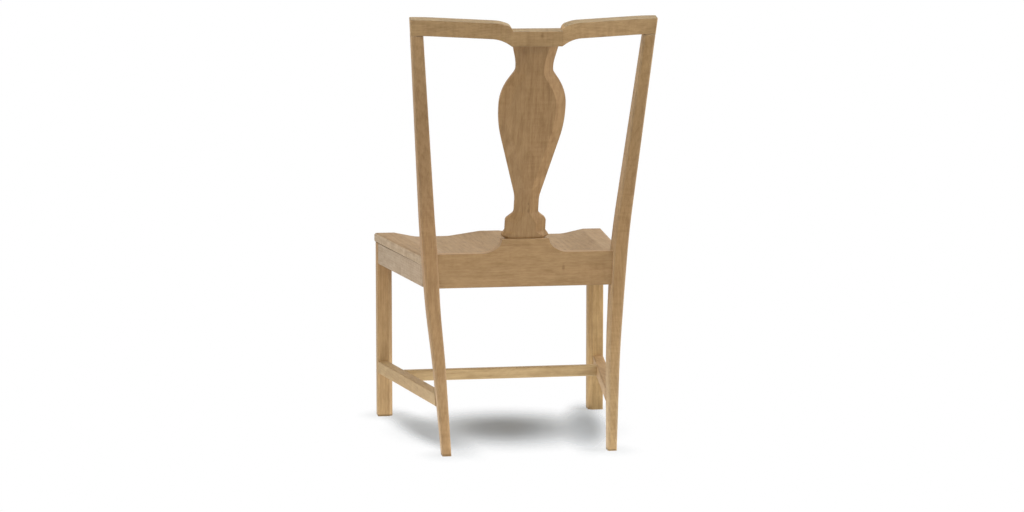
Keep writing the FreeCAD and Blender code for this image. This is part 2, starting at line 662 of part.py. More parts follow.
def square_to_face(face, corner):
    """Middle of a block's inner face, and the way from there square into the leg or post."""
    height = value("seat_base - block_height / 2")
    ends = [FreeCAD.Vector(value(x), value(y), height) for x, y in face]
    middle = (ends[0] + ends[1]) / 2
    across = (ends[1] - ends[0]).cross(FreeCAD.Vector(0, 0, 1)).normalize()
    ahead = FreeCAD.Vector(value(corner[0]), value(corner[1]), height) - middle
    return middle, across if across.dot(ahead) > 0 else across * -1


UP = FreeCAD.Vector(0, 0, 1)
block_places = [
    square_to_face(FRONT_BLOCK_FACE, (LEG_INNER, LEG_BACK)),
    square_to_face(REAR_BLOCK_FACE, (POST_SIDE_GAP, POST_FRONT)),
]
SEAT_SCREWS = [
    (f"{LEG_INNER} - seat_screw_reach", f"{FRONT_RAIL_BACK} + seat_screw_inset"),
    (f"{POST_SIDE_GAP} - seat_screw_reach", f"{BACK_RAIL_FRONT} - seat_screw_inset"),
]
seat_places = [(FreeCAD.Vector(value(x), value(y), value(BLOCK_AT)), UP) for x, y in SEAT_SCREWS]
block_screw = screw_shape(value("block_screw_length"))
seat_screw = screw_shape(value("seat_screw_length"))
block_bore = bore_shape(value("block_screw_length"))
seat_bore = bore_shape(value("seat_screw_length"))
block_screws_left = [placed(block_screw, *place) for place in block_places]
seat_screws_left = [placed(seat_screw, *place) for place in seat_places]
block_bores = plain("block_bores", [placed(block_bore, *place) for place in block_places])
seat_bores = plain("seat_bores", [placed(seat_bore, *place) for place in seat_places])


def both_sides(shapes):
    return shapes + [shape.mirror(FreeCAD.Vector(), ALONG) for shape in shapes]


corner_block_screws = plain("corner_block_screws", both_sides(block_screws_left))
seat_screws = plain("seat_screws", both_sides(seat_screws_left))

# Front leg: square, with its inner corner chamfered for its whole length.
body = new_body("front_leg_blank")
plan = new_sketch(body, "XY_Plane", "front_leg_plan")
outline(plan, [
    (LEG_INNER, LEG_FRONT),
    (LEG_OUTER, LEG_FRONT),
    (LEG_OUTER, LEG_BACK),
    (f"{LEG_INNER} + leg_chamfer", LEG_BACK),
    (LEG_INNER, f"{LEG_BACK} - leg_chamfer"),
])
shaft = pad(body, plan, "front_leg_shaft", "seat_base")


def leg_outer_edge(edge):
    middle, along = edge_line(edge)
    return abs(along.z) > 0.9 and middle.x > value(LEG_INNER) + value("leg_side") / 2


fillet(body, shaft, "front_leg_eased", "leg_ease", leg_outer_edge)
front_leg_left = cut(
    "front_leg_left", body, side_mortise_front, front_mortise, stretcher_mortise_front, block_bores
)
front_leg_right = mirror("front_leg_right", front_leg_left)

# Rear post: sawn to its side profile, then to its front profile, then eased.
body = new_body("rear_post_blank")
side = new_sketch(body, "YZ_Plane", "rear_post_side")
HEAD = "(post_depth_top / 2)"
outline(side, [
    (FOOT_FRONT, "0"),
    (FOOT_BACK, "0"),
    (POST_BACK, KNEE_LOW, "post_bend_low"),
    (POST_BACK, KNEE_HIGH, "post_bend_high"),
    (CREST.y(HEAD, "0"), CREST.z(HEAD, "0")),
    (CREST.y(minus(HEAD), "0"), CREST.z(minus(HEAD), "0")),
    (POST_FRONT, KNEE_HIGH, "post_bend_high"),
    (POST_FRONT, KNEE_LOW, "post_bend_low"),
])
pad(body, side, "rear_post_plank", f"{POST_OUTER_TOP} + cut_over")
front = new_sketch(body, "XZ_Plane", "rear_post_front")
PAST_HEAD = "(post_top + cut_over)"
HEAD_SPLAY = f"(cut_over / (post_top - {BACK_RAIL_TOP}))"
outline(front, [
    (POST_OUTER_FLOOR, "0"),
    (f"{post_outer('leg_bow_height')} - leg_bow", "leg_bow_height", "leg_bow_round"),
    (post_outer(KNEE_LOW), KNEE_LOW, "leg_bow_round"),
    (post_outer(PAST_HEAD), PAST_HEAD),
    (f"{POST_INNER_TOP} + ({POST_INNER_TOP} - {POST_INNER_SEAT}) * {HEAD_SPLAY}", PAST_HEAD),
    (POST_INNER_SEAT, BACK_RAIL_TOP, "post_bend_inner"),
    (post_inner(KNEE_LOW), KNEE_LOW, "leg_bow_round"),
    (f"{post_inner('leg_bow_height')} - leg_bow", "leg_bow_height", "leg_bow_round"),
    (POST_INNER_FLOOR, "0"),
])
frame_round(front, "0 - cut_over", f"{POST_OUTER_TOP} + 3 * cut_over", "0 - cut_over", f"{PAST_HEAD} + cut_over")
sawn = pocket(body, front, "rear_post_sawn", f"2 * ({FOOT_BACK} + post_rake + 2 * cut_over)")


def upright(edge):
    middle, along = edge_line(edge)
    return abs(along.z) > 0.8


chamfer(body, sawn, "rear_post_eased", "post_ease", upright)
post_with_tenon = joined("rear_post_tenoned", body, post_tenon)
rear_post_left = cut(
    "rear_post_left", post_with_tenon, side_mortise_rear, back_mortise, stretcher_mortise_rear, block_bores
)
rear_post_right = mirror("rear_post_right", rear_post_left)

# Side and front seat rails. The side rails run at a slant, and their tenons are square to the legs.
body = new_body("side_rail_blank")
plan = new_sketch(body, "XY_Plane", "side_rail_plan", RAIL_BASE)
outline(plan, [
    (side_rail_inner(LEG_BACK), LEG_BACK),
    (side_rail_outer(LEG_BACK), LEG_BACK),
    (side_rail_outer(POST_FRONT), POST_FRONT),
    (side_rail_inner(POST_FRONT), POST_FRONT),
])
pad(body, plan, "side_rail_bar", "rail_depth")
side_seat_rail_left = joined("side_seat_rail_left", body, side_tenon_front, side_tenon_rear)
side_seat_rail_right = mirror("side_seat_rail_right", side_seat_rail_left)

body = new_body("front_rail_blank")
plan = new_sketch(body, "XY_Plane", "front_rail_plan", RAIL_BASE)
outline(plan, [
    (minus(LEG_INNER), FRONT_RAIL_FACE),
    (LEG_INNER, FRONT_RAIL_FACE),
    (LEG_INNER, FRONT_RAIL_BACK),
    (minus(LEG_INNER), FRONT_RAIL_BACK),
])
pad(body, plan, "front_rail_bar", "rail_depth")
front_seat_rail = joined("front_seat_rail", body, front_tenon, mirror("front_tenon_right", front_tenon))

# Rear seat rail with the shoe for the splat rising from its middle in two sweeps.
body = new_body("rear_rail_blank")
front = new_sketch(body, "XZ_Plane", "rear_rail_front", minus(BACK_RAIL_BACK))
outline(front, mirrored([
    (post_inner(RAIL_BASE), RAIL_BASE),
    (POST_INNER_SEAT, BACK_RAIL_TOP),
    ("shoe_spread_half", BACK_RAIL_TOP, "shoe_lower_round"),
    ("shoe_waist_half", f"{BACK_RAIL_TOP} + shoe_waist_rise", "shoe_upper_round"),
    ("shoe_half", SHOE_TOP),
]))
pad(body, front, "rear_rail_bar", "back_rail_thick")
rear_rail = joined("rear_rail_tenoned", body, back_tenon, mirror("back_tenon_right", back_tenon))
rear_seat_rail = cut("rear_seat_rail", rear_rail, splat_foot_mortise)

# Crest rail: front outline padded, then sawn to its bowed plan.
body = new_body("crest_blank")
CREST.seat(body)
front = new_sketch(body, "XZ_Plane", "crest_front")
CREST_END = f"({POST_SPLAY} * {CREST.cos})"
BLOCK_TOP = "(crest_height - crest_step)"
STEP_TOP = f"({BLOCK_TOP} + crest_step_rise)"
STEP_FOOT = "(crest_block_half - crest_step_lean / 2)"
outline(front, mirrored([
    ("crest_block_half", "0 - crest_drop", "crest_block_round"),
    ("crest_block_half + crest_sweep", "0", "crest_sweep_round"),
    (POST_OUTER_TOP, "0"),
    (f"{POST_OUTER_TOP} + crest_height * {CREST_END}", "crest_height"),
    (f"{STEP_FOOT} + crest_step_lean + crest_step_run", "crest_height", "crest_wing_round"),
    (f"{STEP_FOOT} + crest_step_lean", STEP_TOP, "crest_step_round"),
    (STEP_FOOT, BLOCK_TOP),
]))
pad(body, front, "crest_board", f"2 * ({CREST_BACK} + cut_over)", symmetric=True)
plan = new_sketch(body, "XY_Plane", "crest_plan")
PAST_END = f"({POST_OUTER_TOP} + cut_over)"
outline(plan, [
    (PAST_END, minus(CREST_HALF)),
    (PAST_END, CREST_HALF),
    (POST_INNER_TOP, CREST_HALF, "crest_turn_round"),
    ("crest_block_half", CREST_BACK, "crest_crease_round"),
    (minus("crest_block_half"), CREST_BACK, "crest_crease_round"),
    (minus(POST_INNER_TOP), CREST_HALF, "crest_turn_round"),
    (minus(PAST_END), CREST_HALF),
    (minus(PAST_END), minus(CREST_HALF)),
    (minus(POST_INNER_TOP), minus(CREST_HALF), "crest_turn_round"),
    (minus("crest_block_half"), CREST_FRONT, "crest_hollow_round"),
    ("crest_block_half", CREST_FRONT, "crest_hollow_round"),
    (POST_INNER_TOP, minus(CREST_HALF), "crest_turn_round"),
])
REACH = f"({CREST_BACK} + 2 * cut_over)"
frame_round(plan, f"0 - {PAST_END} - cut_over", f"{PAST_END} + cut_over", f"0 - {REACH}", REACH)
bowed = pocket(body, plan, "crest_bowed", "2 * (crest_height + crest_drop + cut_over)")


def crest_end_edge(edge):
    """Upright edges of the two ends, eased like the posts below them."""
    middle, along = edge_line(edge)
    return abs(along.z) > 0.9 and abs(middle.x) > value(POST_OUTER_TOP)


chamfer(body, bowed, "crest_ends_eased", "post_ease", crest_end_edge)
post_mortise_right = mirror("post_mortise_right", post_mortise)
crest_rail = cut("crest_rail", body, post_mortise, post_mortise_right, splat_head_mortise)

# Splat: its outline as a square-edged band in front, and a bevel running in to the flat back.
body = new_body("splat_blank")
SPLAT.seat(body)
BAND = minus("splat_band")
edge_sketch = new_sketch(body, "XZ_Plane", "splat_outline", BAND)
PAST_FOOT = "(0 - splat_band)"
PAST_HEAD_END = f"({SPLAT_LENGTH} + cut_over / 2)"
STRETCH = f"(({SPLAT_LENGTH} - plinth_high) / (splat_drawn - plinth_high))"


def risen(height):
    """A height above the plinth, moved so that the outline fits between shoe and crest rail."""
    return f"(plinth_high + ({height} - plinth_high) * {STRETCH})"


FLARE = f"(flare_slope * ({PAST_HEAD_END} - {risen('collar_high')}))"
outline(edge_sketch, mirrored([
    ("foot_start_half", PAST_FOOT),
    ("foot_half", "foot_lip_low"),
    ("foot_half", "foot_lip_high"),
    ("plinth_half", "plinth_low", "cove_round"),
    ("plinth_half", "plinth_high", "plinth_round"),
    ("neck_half", risen("neck_low"), "neck_low_round"),
    ("neck_half", risen("neck_high"), "neck_high_round"),
    ("vase_half", risen("vase_low"), "vase_low_round"),
    ("vase_half", risen("vase_high"), "vase_high_round"),
    ("collar_half", risen("collar_low"), "collar_round"),
    ("collar_half", risen("collar_high"), "flare_round"),
    (f"collar_half + {FLARE}", PAST_HEAD_END),
]))
pad(body, edge_sketch, "splat_band_pad", "splat_band")
flat_sketch = new_sketch(body, "XZ_Plane", "splat_flat", minus("splat_thick"))
outline(flat_sketch, mirrored([
    ("flat_foot_half", PAST_FOOT),
    ("flat_lip_half", "foot_lip_low"),
    ("flat_lip_half", "foot_lip_high"),
    ("flat_plinth_half", "plinth_low", "cove_round"),
    ("flat_plinth_half", "flat_plinth_high", "plinth_round"),
    ("flat_neck_half", risen("flat_neck_low"), "neck_low_round"),
    ("flat_neck_half", risen("flat_neck_high"), "neck_high_round"),
    ("flat_vase_half", risen("flat_vase_low"), "vase_low_round"),
    ("flat_vase_half", risen("flat_vase_high"), "flat_vase_round"),
    ("flat_collar_half", risen("flat_collar_low"), "collar_round"),
    ("flat_collar_half", risen("collar_high"), "flare_round"),
    (f"flat_collar_half + {FLARE}", PAST_HEAD_END),
]))
bevel = body.newObject("PartDesign::AdditiveLoft", "splat_bevel")
bevel.Profile = edge_sketch
bevel.Sections = [flat_sketch]
bevel.Ruled = True
doc.recompute()
SPLAT_SIDE = ("0 - vase_half - cut_over", "vase_half + cut_over")
below_shoe = box(
    "below_shoe",
    SPLAT_SIDE,
    (f"{BACK_RAIL_FRONT} - cut_over", f"{BACK_RAIL_BACK} + cut_over"),
    (f"{SHOE_TOP} - cut_over", SHOE_TOP),
)
above_splat = raked_box(
    "above_splat",
    CREST,
    SPLAT_SIDE,
    (f"{CREST_FRONT} - cut_over", f"{CREST_BACK} + cut_over"),
    ("0 - crest_drop", "crest_height + cut_over"),
)
splat_board = cut("splat_board", body, below_shoe, above_splat)
splat = joined("splat", splat_board, splat_foot_tenon, splat_head_tenon)

# Side and cross stretchers. The side stretchers' rear shoulders follow the slope of the rear legs.
body = new_body("side_stretcher_blank")
plan = new_sketch(body, "XY_Plane", "side_stretcher_plan", STRETCHER_BASE)
PAST_LEG = f"({FOOT_BACK} + cut_over)"
outline(plan, [
    (f"{stretcher_mid(LEG_BACK)} - side_stretcher_thick / 2", LEG_BACK),
    (f"{stretcher_mid(LEG_BACK)} + side_stretcher_thick / 2", LEG_BACK),
    (f"{stretcher_mid(PAST_LEG)} + side_stretcher_thick / 2", PAST_LEG),
    (f"{stretcher_mid(PAST_LEG)} - side_stretcher_thick / 2", PAST_LEG),
])
bar = pad(body, plan, "side_stretcher_bar", "side_stretcher_height")


def lengthwise(edge):
    middle, along = edge_line(edge)
    return abs(along.y) > 0.9


eased = fillet(body, bar, "side_stretcher_eased", "stretcher_ease", lengthwise)
side = new_sketch(body, "YZ_Plane", "side_stretcher_end")
outline(side, [
    (rear_leg_front("0"), "0"),
    (f"{PAST_LEG} + cut_over", "0"),
    (f"{PAST_LEG} + cut_over", "stretcher_top + cut_over"),
    (rear_leg_front("stretcher_top + cut_over"), "stretcher_top + cut_over"),
])
pocket(body, side, "side_stretcher_shoulder", f"2 * ({LEG_OUTER} + cut_over)")
side_stretcher = joined("side_stretcher_tenoned", body, stretcher_tenon_front, stretcher_tenon_rear)
side_stretcher_left = cut("side_stretcher_left", side_stretcher, cross_mortise)
side_stretcher_right = mirror("side_stretcher_right", side_stretcher_left)

body = new_body("cross_stretcher_blank")
plan = new_sketch(body, "XY_Plane", "cross_stretcher_plan", "stretcher_top - cross_stretcher_height")
CROSS_FRONT = f"({CROSS_PLACE} - cross_stretcher_thick / 2)"
CROSS_BACK = f"({CROSS_PLACE} + cross_stretcher_thick / 2)"
outline(plan, mirrored([
    (f"{stretcher_mid(CROSS_FRONT)} - side_stretcher_thick / 2", CROSS_FRONT),
    (f"{stretcher_mid(CROSS_BACK)} - side_stretcher_thick / 2", CROSS_BACK),
]))
bar = pad(body, plan, "cross_stretcher_bar", "cross_stretcher_height")


def crosswise(edge):
    middle, along = edge_line(edge)
    return abs(along.x) > 0.9


fillet(body, bar, "cross_stretcher_eased", "stretcher_ease", crosswise)
cross_stretcher = joined("cross_stretcher", body, cross_tenon, mirror("cross_tenon_right", cross_tenon))

# Corner blocks inside the seat frame, each fitted round a leg or post.
body = new_body("front_block_blank")
plan = new_sketch(body, "XY_Plane", "front_block_plan", BLOCK_AT)
LEG_SIDE_GAP = f"({LEG_INNER} - block_gap)"
outline(plan, [
    FRONT_BLOCK_FACE[0],
    (LEG_SIDE_GAP, FRONT_RAIL_BACK),
    (LEG_SIDE_GAP, f"{LEG_BACK} - leg_chamfer + block_gap"),
    (f"{LEG_INNER} + leg_chamfer - block_gap", LEG_BACK_GAP),
    (side_rail_inner(LEG_BACK_GAP), LEG_BACK_GAP),
    FRONT_BLOCK_FACE[1],
])
pad(body, plan, "front_block_pad", "block_height")
corner_block_front_left = cut("corner_block_front_left", body, block_bores, seat_bores)
corner_block_front_right = mirror("corner_block_front_right", corner_block_front_left)

body = new_body("rear_block_blank")
plan = new_sketch(body, "XY_Plane", "rear_block_plan", BLOCK_AT)
outline(plan, [
    REAR_BLOCK_FACE[0],
    REAR_BLOCK_FACE[1],
    (side_rail_inner(POST_FRONT_GAP), POST_FRONT_GAP),
    (POST_SIDE_GAP, POST_FRONT_GAP),
    (POST_SIDE_GAP, BACK_RAIL_FRONT),
])
pad(body, plan, "rear_block_pad", "block_height")
corner_block_rear_left = cut("corner_block_rear_left", body, block_bores, seat_bores)
corner_block_rear_right = mirror("corner_block_rear_right", corner_block_rear_left)

# Saddle seat: a board notched round the posts, hollowed along four cross sections, then rounded.
body = new_body("seat_blank")
plan = new_sketch(body, "XY_Plane", "seat_plan", "seat_base")
SEAT_FLARE = "((seat_rear_half - seat_front_half) / seat_depth)"
SEAT_STOP = f"({POST_FRONT} - block_gap)"
SEAT_BACK = f"({BACK_RAIL_FRONT} - block_gap)"
NOTCH_HALF = f"({post_inner('seat_base')} - block_gap)"
outline(plan, mirrored([
    (seat_half(SEAT_FRONT), SEAT_FRONT),
    (seat_half(SEAT_STOP), SEAT_STOP),
    (NOTCH_HALF, SEAT_STOP),
    (NOTCH_HALF, SEAT_BACK),
]))
board = pad(body, plan, "seat_board", "seat_thick")


def hollow_section(name, depth, rim, inner, drop, ridge):
    """Cross section of the wood taken out between the rims at one place along the seat's depth."""
    sketch = new_sketch(body, "XZ_Plane", name, minus(depth))
    edge = f"({seat_half(depth)} - {rim})"
    floor = f"({SEAT_TOP} - {drop})"
    right = [
        (f"{edge} - hollow_outer", floor, "hollow_round"),
        (edge, SEAT_TOP),
        (edge, f"{SEAT_TOP} + cut_over"),
    ]
    corners = mirrored([(inner, floor, "hollow_round")] + right)
    outline(sketch, corners + [("0", f"({SEAT_TOP} + {ridge})", "pommel_round")])
    return sketch


sections = [
    hollow_section(
        "hollow_front", f"({SEAT_FRONT} - hollow_over)", "rim_front", "hollow_inner_front", "hollow_depth_front",
        "pommel_peak",
    ),
    hollow_section(
        "hollow_mid", f"({SEAT_FRONT} + hollow_mid_place)", "rim_front", "hollow_inner_rear", "hollow_depth_mid",
        "(0 - ridge_drop_mid)",
    ),
    hollow_section(
        "hollow_back", f"({SEAT_FRONT} + hollow_back_place)", "rim_rear", "hollow_inner_rear", "hollow_depth_front",
        "(0 - ridge_drop_mid)",
    ),
    hollow_section(
        "hollow_rear", f"({SEAT_BACK} + hollow_over)", "rim_rear", "hollow_inner_rear", "hollow_depth_rear",
        "(0 - ridge_drop_rear)",
    ),
]
hollow = body.newObject("PartDesign::SubtractiveLoft", "seat_hollow")
hollow.Profile = sections[0]
hollow.Sections = sections[1:]
doc.recompute()


def seat_side(edge):
    """Front and side edges of the board, not those against the posts and rear rail."""
    middle, along = edge_line(edge)
    at_front = abs(middle.y - value(SEAT_FRONT)) < 0.1
    at_side = abs(abs(middle.x) - value(seat_half("0")) - (middle.y) * value(SEAT_FLARE)) < 0.1
    return abs(along.z) < 0.5 and (at_front or at_side)


def seat_upper(edge):
    return seat_side(edge) and edge.CenterOfMass.z > value("seat_base + seat_thick / 2")


def seat_lower(edge):
    return seat_side(edge) and edge.CenterOfMass.z < value("seat_base") + 0.1


rounded = fillet(body, hollow, "seat_upper_round", "seat_top_round", seat_upper)
fillet(body, rounded, "seat_lower_round", "seat_base_round", seat_lower)
seat_bores_right = mirror("seat_bores_right", seat_bores)
saddle_seat = cut("saddle_seat", body, seat_bores, seat_bores_right)

doc.recompute()

NODES = [
    rear_post_left,
    rear_post_right,
    crest_rail,
    splat,
    rear_seat_rail,
    side_seat_rail_left,
    side_seat_rail_right,
    front_seat_rail,
    saddle_seat,
    front_leg_left,
    front_leg_right,
    side_stretcher_left,
    side_stretcher_right,
    cross_stretcher,
    corner_block_front_left,
    corner_block_front_right,
    corner_block_rear_left,
    corner_block_rear_right,
    corner_block_screws,
    seat_screws,
]

for item in doc.Objects:
    if "Invalid" in item.State or "Error" in item.State:
        raise RuntimeError(f"{item.Label} did not build: {item.State}")
for node in NODES:
    if node.Shape.isNull() or not node.Shape.isValid():
        raise RuntimeError(f"{node.Label} has no valid shape")

os.makedirs("parts", exist_ok=True)
for node in NODES:
    node.Shape.exportStep(os.path.join("parts", node.Label + ".step"))
    print(node.Label, len(node.Shape.Solids), "solids", round(node.Shape.Volume / 1000, 1), "cm3")
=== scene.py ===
import json
import math
from dataclasses import dataclass, field

import bpy
from mathutils import Matrix, Vector

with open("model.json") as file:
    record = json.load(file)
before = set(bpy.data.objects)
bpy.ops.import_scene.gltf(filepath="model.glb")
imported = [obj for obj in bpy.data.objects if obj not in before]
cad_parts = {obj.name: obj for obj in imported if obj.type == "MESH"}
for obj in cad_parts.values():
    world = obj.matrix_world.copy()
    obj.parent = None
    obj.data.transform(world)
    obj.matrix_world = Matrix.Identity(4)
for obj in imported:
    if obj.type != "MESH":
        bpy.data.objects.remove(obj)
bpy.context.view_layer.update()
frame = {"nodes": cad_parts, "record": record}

scene = bpy.context.scene


@dataclass(frozen=True)
class Noise:
    """A noise with so many spots to the metre along the grain and across it."""

    lengthwise: float
    crosswise: float
    detail: float = 2.0
    roughness: float = 0.5


class Nodes:
    """Adds and links the shader nodes of a material or a world."""

    def __init__(self, owner):
        owner.use_nodes = True
        self.tree = owner.node_tree
        self.tree.nodes.clear()

    def add(self, kind, inputs=None, **settings):
        """Adds a node with its settings, and joins its inputs to what they take."""
        node = self.tree.nodes.new(kind)
        for name, setting in settings.items():
            setattr(node, name, setting)
        for name, source in (inputs or {}).items():
            self.join(source, node.inputs[name])
        return node

    def join(self, source, socket):
        """Links an input to another node, or sets it to a number, a vector or a colour."""
        if isinstance(source, bpy.types.NodeSocket):
            self.tree.links.new(source, socket)
        elif socket.type == "RGBA":
            socket.default_value = (*source, 1.0)
        else:
            socket.default_value = source

    def place(self):
        """Gives the object's own coordinates, in metres."""
        return self.add("ShaderNodeTexCoord").outputs["Object"]

    def split(self, vector):
        """Gives the x, y and z of a vector."""
        return list(self.add("ShaderNodeSeparateXYZ", {0: vector}).outputs)

    def math(self, operation, first, second=0.0, third=0.0):
        """Does arithmetic on numbers."""
        inputs = {0: first, 1: second, 2: third}
        return self.add("ShaderNodeMath", inputs, operation=operation).outputs[0]

    def vector(self, operation, first, second=(0.0, 0.0, 0.0)):
        """Does arithmetic on vectors, and gives a number for a length or a dot product."""
        node = self.add("ShaderNodeVectorMath", {0: first, 1: second}, operation=operation)
        return node.outputs["Value" if operation in ("LENGTH", "DOT_PRODUCT") else "Vector"]

    def noise(self, place, noise):
        """Draws a noise, with the grain along x."""
        scales = (noise.lengthwise, noise.crosswise, noise.crosswise)
        inputs = {
            "Vector": self.vector("MULTIPLY", place, scales),
            "Scale": 1.0,
            "Detail": noise.detail,
            "Roughness": noise.roughness,
        }
        return self.add("ShaderNodeTexNoise", inputs).outputs["Fac"]

    def spread(self, value, low, high, to_low=0.0, to_high=1.0):
        """Maps a range smoothly to another and holds it at the ends."""
        inputs = {"Value": value, "From Min": low, "From Max": high, "To Min": to_low, "To Max": to_high}
        node = self.add("ShaderNodeMapRange", inputs, interpolation_type="SMOOTHSTEP")
        return node.outputs["Result"]

    def mix(self, factor, first, second, blend="MIX", kind="RGBA"):
        """Goes from one colour or vector to another."""
        inputs = {"Factor": factor, "A": first, "B": second}
        return self.add("ShaderNodeMix", inputs, data_type=kind, blend_type=blend).outputs["Result"]

    def tinted(self, colour, tint, where, strength=1.0):
        """Multiplies a colour by a tint as far as it reaches."""
        factor = self.math("MULTIPLY", where, strength)
        return self.mix(factor, colour, tint, "MULTIPLY")

    def seen_directly(self):
        """Gives one for rays from the camera, reflections or glass, and zero for those that only light."""
        path = self.add("ShaderNodeLightPath")
        seen = self.math("MAXIMUM", path.outputs["Is Camera Ray"], path.outputs["Is Glossy Ray"])
        return self.math("MAXIMUM", seen, path.outputs["Is Transmission Ray"])


# Clear-finished light brown hardwood: its lightest and darkest lines, and the colour its edges lighten to,
# by wear and, on the right rear post, as a painted highlight.
LIGHT_WOOD = (0.392, 0.233, 0.103)
DARK_WOOD = (0.262, 0.144, 0.056)
WORN_AND_LIT_EDGE = (0.50, 0.38, 0.25)

# Tints, which multiply the colour of the wood, with their strengths.
WARM_TINT = (1.06, 0.97, 0.90)
WARM_STRENGTH = 0.35
PORE_TINT = (0.55, 0.46, 0.38)
PORE_STRENGTH = 0.22
KNOT_TINT = (0.50, 0.42, 0.34)
KNOT_STRENGTH = 0.55
# Painted light from the floor: the lower parts of every board paler and bluer.
PAINTED_FLOOR_LIGHT = (1.00, 1.06, 1.12)

# Noises that the grain is made of.
WANDER = Noise(1.6, 5.0)
RIPPLE = Noise(7.0, 45.0, detail=3.0, roughness=0.55)
FIBRE = Noise(9.0, 520.0, detail=3.0, roughness=0.6)
FLECK = Noise(90.0, 420.0)
STREAK = Noise(10.0, 140.0, detail=4.0, roughness=0.65)
MOTTLE = Noise(26.0, 80.0, detail=3.0, roughness=0.6)
DRIFT = Noise(2.0, 9.0)
CURL = Noise(150.0, 16.0, detail=1.0)
PORES = Noise(45.0, 1300.0, detail=1.0)
NOISE_MEAN = 0.5

# How much of a noise shows: the values at which it begins to show and shows in full.
PORES_SHOW = (0.60, 0.74)
CURL_SHOWS = (0.40, 0.62)
WARM_SHOWS = (0.35, 0.70)

# How far each noise darkens the wood, from the lightest lines at zero to the darkest at one.
MEAN_SHADE = 0.36
FIBRE_SHADE = 0.8
FLECK_SHADE = 0.7
MOTTLE_SHADE = 1.5
CURL_SHADE = 0.9
STREAK_SHADE = 0.5
STREAK_SHADE_BY_FIGURE = 4.0

# Growth rings: how far their lines stray, in metres, and the part of a ring that is dark late wood.
WANDER_WIDTH = 0.030
RIPPLE_WIDTH = 0.004
LATE_WOOD_BEGINS = 0.25
LATE_WOOD_ENDS = 0.90

# Pin knots: factors on the distance each way, and the ragged rim, eye and edge as shares of the size.
KNOT_SQUEEZE = (1.5, 0.0, 0.8)
KNOT_RAGGED = 0.8
KNOT_EYE = 0.6
KNOT_EDGE = 1.7

# Edges: heights between which they become rounded, and dot products of normals where edge wear and the
# painted edge highlight show.
EDGE_SAMPLES = 8
SQUARE_FOOT = (0.004, 0.012)
EDGE_WEAR_AND_HIGHLIGHT_SHOW = (0.999, 0.90)

# Surface of the finish.
ROUGHNESS = 0.53
STREAK_ROUGHNESS = 0.16
PORE_ROUGHNESS = 0.12
FIBRE_RELIEF = 0.5
PORE_RELIEF = -0.6
RELIEF_STRENGTH = 0.18
RELIEF_DEPTH = 0.0004
GLOSS = 0.4

# Order of the object's axes for each direction of the grain: along it, across it and in depth.
GRAIN_AXES = {"X": (0, 1, 2), "Y": (1, 0, 2), "Z": (2, 0, 1)}

# Parts of a board where light and shade are painted: what is measured, where the tint begins and where it
# is full.
PAINTED_LIGHT_PARTS = {
    # low: painted floor light; waist: painted shade at the splat's foot; high: painted light on upper
    # posts, painted shadow under the crest; top: painted shade on upward faces; left: painted sheen.
    "low": ("height", 0.42, 0.08),
    "waist": ("height", 0.60, 0.55),
    "high": ("height", 0.78, 0.92),
    "top": ("facing up", 0.55, 0.85),
    "left": ("facing left", 0.55, 0.85),
}


@dataclass(frozen=True)
class Board:
    """How one wooden piece is cut from the tree, how its colour differs from the others, and the light and
    shade painted on it.
    """

    # Axis of the grain, offset into the noises, and heart line: across, in depth and its tilt.
    along: str
    shift: tuple
    heart: tuple
    # Factors on the wood's colour, one per piece, partly painted light: blue-heavy factors paint a pale
    # sheen on the seat and side rails, and the cross stretcher's paint the floor's light.
    tone: tuple
    # Width of a growth ring, lean of the piece, and how strongly its rings show.
    ring: float = 0.006
    lean: float = 0.0
    figure: float = 0.20
    # Radius to which edges look rounded, and how far edges lighten: wear, and on the right rear post also
    # a painted highlight.
    ease: float = 0.002
    wear_and_highlight: float = 0.14
    # Pin knots as (sideways, height, size), and the light and shade painted by part.
    knots: tuple = ()
    painted_light: dict = field(default_factory=dict)


def grain_space(nodes, board):
    """Object coordinates with x turned along the grain, and moved so that no two boards match."""
    sides = nodes.split(nodes.place())
    length, across, depth = (sides[axis] for axis in GRAIN_AXES[board.along])
    upright = nodes.math("MULTIPLY_ADD", length, -board.lean, depth)
    turned = nodes.add("ShaderNodeCombineXYZ", {0: length, 1: across, 2: upright}).outputs[0]
    return nodes.vector("ADD", turned, board.shift)


def late_wood(nodes, place, ripple, board):
    """How dark each point is in its growth ring, round a heart line that wanders along the grain."""
    heart_across, heart_depth, heart_tilt = board.heart
    length, across, depth = nodes.split(place)
    across = nodes.math("SUBTRACT", across, heart_across)
    depth = nodes.math("SUBTRACT", depth, heart_depth)
    depth = nodes.math("MULTIPLY_ADD", length, heart_tilt, depth)
    offset = nodes.add("ShaderNodeCombineXYZ", {0: across, 1: depth}).outputs[0]
    radius = nodes.vector("LENGTH", offset)
    radius = nodes.math("MULTIPLY_ADD", nodes.noise(place, WANDER), WANDER_WIDTH, radius)
    radius = nodes.math("MULTIPLY_ADD", ripple, RIPPLE_WIDTH, radius)
    part = nodes.math("FRACT", nodes.math("DIVIDE", radius, board.ring))
    rise = nodes.spread(part, LATE_WOOD_BEGINS, LATE_WOOD_ENDS)
    fall = nodes.spread(part, LATE_WOOD_ENDS, 1.0, 1.0, 0.0)
    return nodes.math("MULTIPLY", rise, fall)


